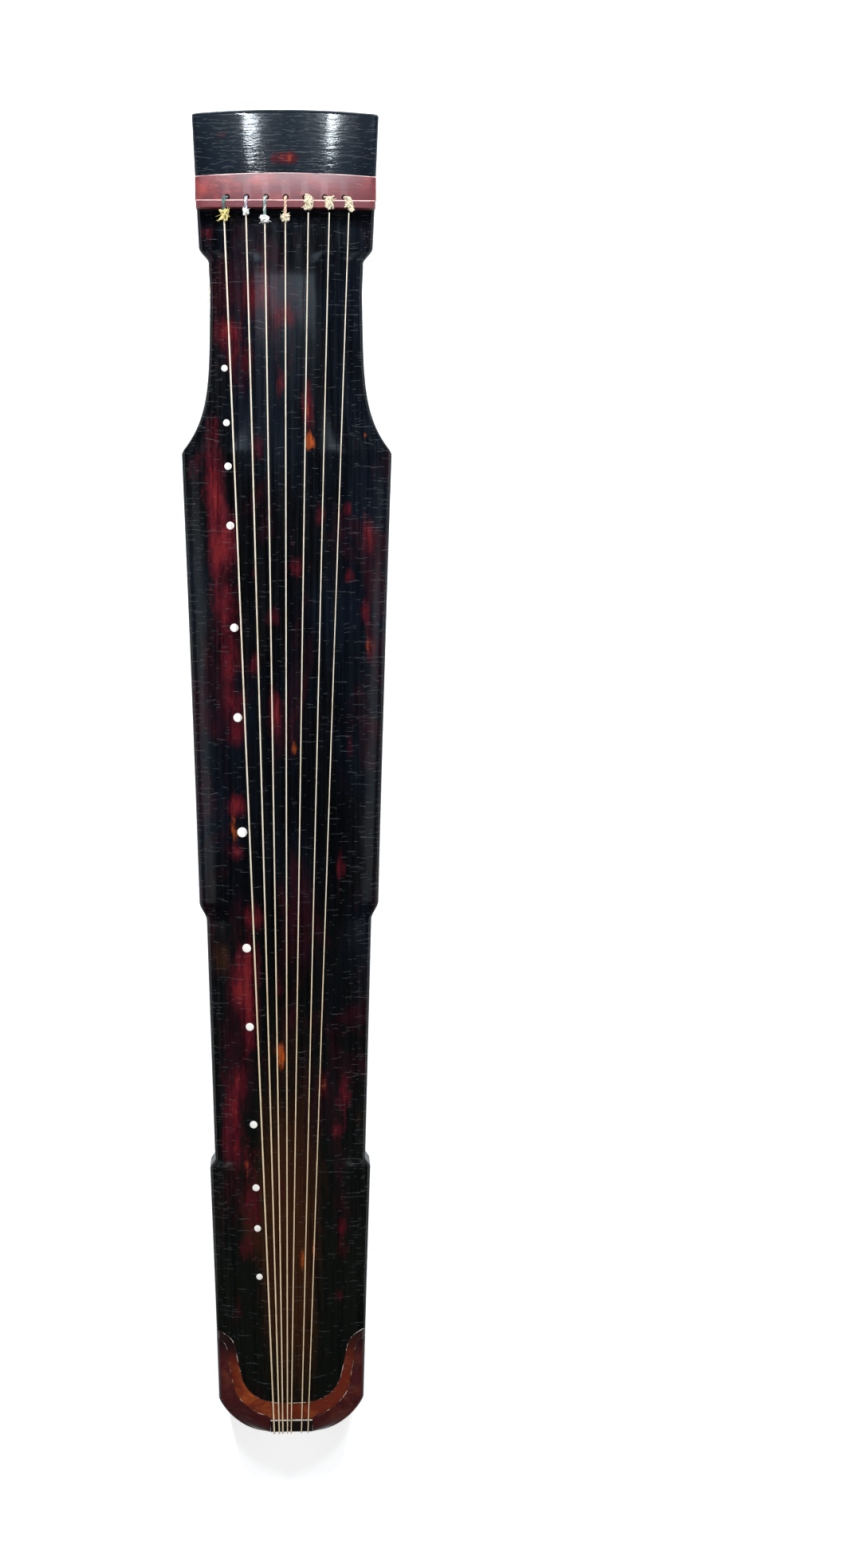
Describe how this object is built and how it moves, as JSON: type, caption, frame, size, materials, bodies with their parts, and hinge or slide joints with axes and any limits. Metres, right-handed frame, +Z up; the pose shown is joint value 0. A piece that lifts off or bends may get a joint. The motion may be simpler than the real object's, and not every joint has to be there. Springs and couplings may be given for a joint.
{
  "type": "guqin",
  "caption": "Seven-string fretless long zither in dark lacquer, with a domed top board, a bridge, turning tuning pegs with tassels, and two goose feet.",
  "frame": {"origin": "middle of the outline at floor level, under the instrument as it lies face up", "axes": "+X towards the head, +Y towards the side with the position studs, +Z up"},
  "size_m": [1.2226, 0.19, 0.099],
  "materials": {
    "black_lacquer": "gloss black lacquer with red showing through",
    "back_lacquer": "gloss dark lacquer",
    "red_strip": "gloss red lacquer",
    "rosewood": "oiled dark hardwood",
    "peg_wood": "polished dark hardwood",
    "border_red": "gloss orange red lacquer",
    "guard_red": "gloss maroon lacquer",
    "plate_red": "gloss deep red lacquer",
    "bare_wood": "bare softwood",
    "pearl": "polished shell",
    "silk": "twisted silk",
    "cord": "twisted floss silk cord"
  },
  "bodies": {
    "root": {"top_board": "black_lacquer", "bottom_board": "back_lacquer", "string_hole_strip": "red_strip", "bridge": "rosewood", "tail_nut": "rosewood", "tail_border": "border_red", "tail_string_rest": "rosewood", "heaven_pillar": "bare_wood", "earth_pillar": "bare_wood", "tail_guard_near": "guard_red", "tail_underplate_near": "plate_red", "peg_guard_near": "rosewood", "goose_foot_near": "rosewood", "foot_winding_near": "silk", "tail_guard_far": "guard_red", "tail_underplate_far": "plate_red", "peg_guard_far": "rosewood", "goose_foot_far": "rosewood", "foot_winding_far": "silk", "position_stud_1": "pearl", "position_stud_2": "pearl", "position_stud_3": "pearl", "position_stud_4": "pearl", "position_stud_5": "pearl", "position_stud_6": "pearl", "position_stud_7": "pearl", "position_stud_8": "pearl", "position_stud_9": "pearl", "position_stud_10": "pearl", "position_stud_11": "pearl", "position_stud_12": "pearl", "position_stud_13": "pearl", "tassel_1": "cord", "tassel_2": "cord", "tassel_3": "cord", "tassel_4": "cord", "tassel_5": "cord", "tassel_6": "cord", "tassel_7": "cord", "string_1": "silk", "string_2": "silk", "string_3": "silk", "string_4": "silk", "string_5": "silk", "string_6": "silk", "string_7": "silk"},
    "tuning_peg_1": {"peg_1": "peg_wood", "peg_winding_1": "cord"},
    "tuning_peg_2": {"peg_2": "peg_wood", "peg_winding_2": "cord"},
    "tuning_peg_3": {"peg_3": "peg_wood", "peg_winding_3": "cord"},
    "tuning_peg_4": {"peg_4": "peg_wood", "peg_winding_4": "cord"},
    "tuning_peg_5": {"peg_5": "peg_wood", "peg_winding_5": "cord"},
    "tuning_peg_6": {"peg_6": "peg_wood", "peg_winding_6": "cord"},
    "tuning_peg_7": {"peg_7": "peg_wood", "peg_winding_7": "cord"}
  },
  "joints": [
    {"name": "peg_1_turn", "type": "hinge", "parent": "root", "child": "tuning_peg_1", "pos_m": [0.5336, 0.0525, 0.025], "axis": [0, 0, 1], "continuous": true},
    {"name": "peg_2_turn", "type": "hinge", "parent": "root", "child": "tuning_peg_2", "pos_m": [0.5336, 0.035, 0.025], "axis": [0, 0, 1], "continuous": true},
    {"name": "peg_3_turn", "type": "hinge", "parent": "root", "child": "tuning_peg_3", "pos_m": [0.5336, 0.0175, 0.025], "axis": [0, 0, 1], "continuous": true},
    {"name": "peg_4_turn", "type": "hinge", "parent": "root", "child": "tuning_peg_4", "pos_m": [0.5336, 0, 0.025], "axis": [0, 0, 1], "continuous": true},
    {"name": "peg_5_turn", "type": "hinge", "parent": "root", "child": "tuning_peg_5", "pos_m": [0.5336, -0.0175, 0.025], "axis": [0, 0, 1], "continuous": true},
    {"name": "peg_6_turn", "type": "hinge", "parent": "root", "child": "tuning_peg_6", "pos_m": [0.5336, -0.035, 0.025], "axis": [0, 0, 1], "continuous": true},
    {"name": "peg_7_turn", "type": "hinge", "parent": "root", "child": "tuning_peg_7", "pos_m": [0.5336, -0.0525, 0.025], "axis": [0, 0, 1], "continuous": true}
  ]
}
